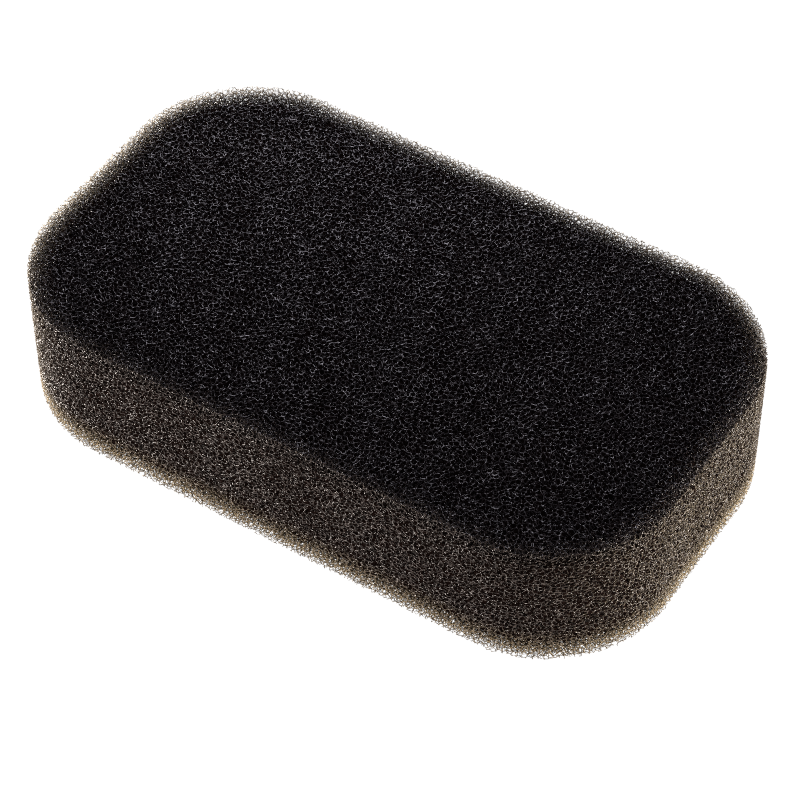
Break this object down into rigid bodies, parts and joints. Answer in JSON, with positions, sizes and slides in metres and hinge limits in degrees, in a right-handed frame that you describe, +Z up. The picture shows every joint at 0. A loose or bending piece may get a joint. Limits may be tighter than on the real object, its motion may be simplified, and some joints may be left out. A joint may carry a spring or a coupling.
{
  "type": "sponge filter pad",
  "caption": "Rounded-rectangular block of black open-cell foam, cut square, that strains water or air passing through its thickness.",
  "frame": {"origin": "centre of the bottom face of the block", "axes": "+X along the length, +Y along the width, +Z up through the thickness, which is the way water or air passes"},
  "size_m": [0.13, 0.076, 0.028],
  "materials": {
    "foam": "matte"
  },
  "bodies": {
    "root": {"foam_block": "foam"}
  },
  "joints": []
}
